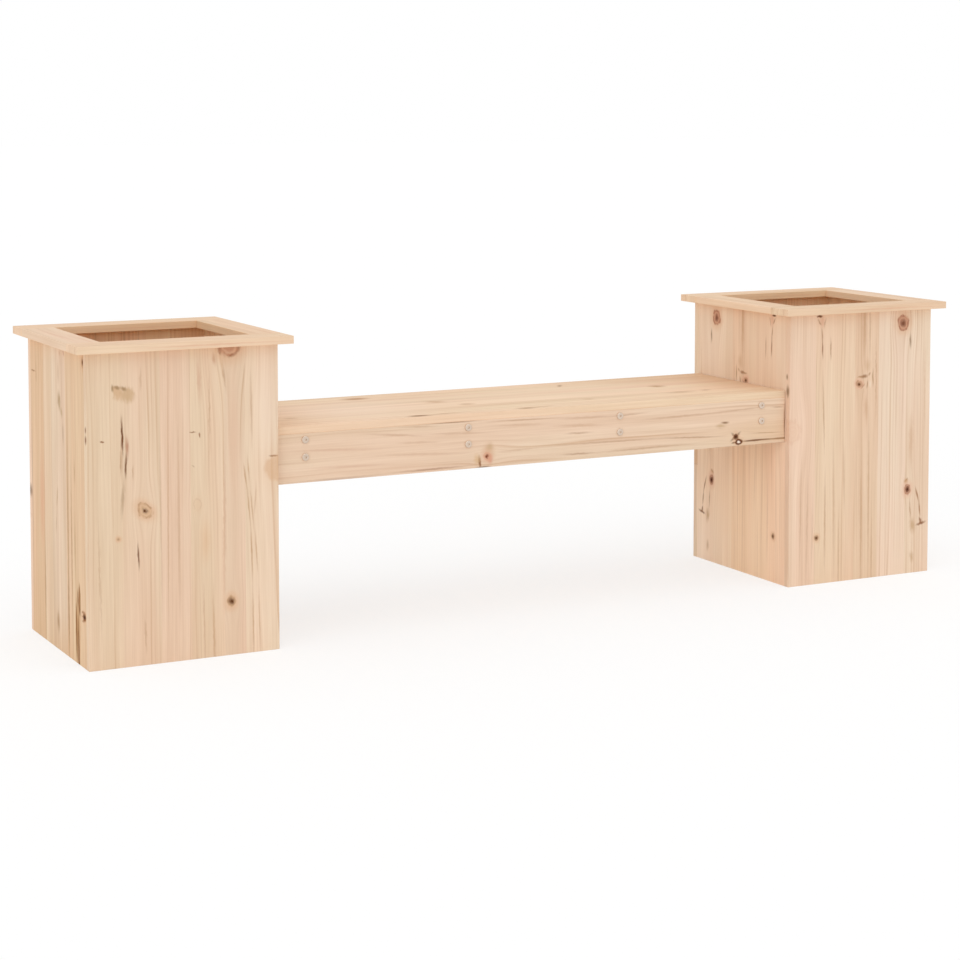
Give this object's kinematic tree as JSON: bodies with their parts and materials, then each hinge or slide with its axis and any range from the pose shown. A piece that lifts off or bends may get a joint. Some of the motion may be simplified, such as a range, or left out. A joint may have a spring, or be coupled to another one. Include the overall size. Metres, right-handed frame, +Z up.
{
  "type": "bench with planter",
  "caption": "Pine garden bench: board seat on screwed aprons and cross battens, carried between square planter boxes with overhanging rims and slatted floors.",
  "frame": {"origin": "on the ground under the middle of the seat, the centre of the bounding box's bottom face", "axes": "+X along the bench to the right planter as seen from the front, -Y the front that faces the viewer, +Z up"},
  "size_m": [1.85, 0.396, 0.565],
  "materials": {
    "pine_panel": "planed, untreated, grain upright",
    "pine_rim": "planed, untreated, grain along the board",
    "pine_seat": "planed, untreated, grain along the bench",
    "pine_batten": "sawn and planed, untreated",
    "beech_dowel": "turned, unfinished",
    "zinc_steel": "bright zinc plate"
  },
  "bodies": {
    "root": {"back_apron": "pine_seat", "back_apron_screws": "zinc_steel", "cross_batten_1": "pine_batten", "cross_batten_2": "pine_batten", "cross_batten_3": "pine_batten", "cross_batten_4": "pine_batten", "front_apron": "pine_seat", "front_apron_screws": "zinc_steel", "ledger_bolts": "zinc_steel", "ledger_nuts": "zinc_steel", "ledger_washers": "zinc_steel", "left_ledger": "pine_batten", "left_planter_back_floor_cleat": "pine_batten", "left_planter_back_inner_corner_post": "pine_batten", "left_planter_back_outer_corner_post": "pine_batten", "left_planter_back_panel": "pine_panel", "left_planter_corner_post_screws": "zinc_steel", "left_planter_floor_screws": "zinc_steel", "left_planter_floor_slat_1": "pine_batten", "left_planter_floor_slat_2": "pine_batten", "left_planter_floor_slat_3": "pine_batten", "left_planter_front_floor_cleat": "pine_batten", "left_planter_front_inner_corner_post": "pine_batten", "left_planter_front_outer_corner_post": "pine_batten", "left_planter_front_panel": "pine_panel", "left_planter_inner_side_panel": "pine_panel", "left_planter_outer_side_panel": "pine_panel", "left_planter_rim_back_board": "pine_rim", "left_planter_rim_dowels": "beech_dowel", "left_planter_rim_front_board": "pine_rim", "left_planter_rim_inner_board": "pine_rim", "left_planter_rim_outer_board": "pine_rim", "right_ledger": "pine_batten", "right_planter_back_floor_cleat": "pine_batten", "right_planter_back_inner_corner_post": "pine_batten", "right_planter_back_outer_corner_post": "pine_batten", "right_planter_back_panel": "pine_panel", "right_planter_corner_post_screws": "zinc_steel", "right_planter_floor_screws": "zinc_steel", "right_planter_floor_slat_1": "pine_batten", "right_planter_floor_slat_2": "pine_batten", "right_planter_floor_slat_3": "pine_batten", "right_planter_front_floor_cleat": "pine_batten", "right_planter_front_inner_corner_post": "pine_batten", "right_planter_front_outer_corner_post": "pine_batten", "right_planter_front_panel": "pine_panel", "right_planter_inner_side_panel": "pine_panel", "right_planter_outer_side_panel": "pine_panel", "right_planter_rim_back_board": "pine_rim", "right_planter_rim_dowels": "beech_dowel", "right_planter_rim_front_board": "pine_rim", "right_planter_rim_inner_board": "pine_rim", "right_planter_rim_outer_board": "pine_rim", "seat_board": "pine_seat", "seat_screws": "zinc_steel"}
  },
  "joints": []
}
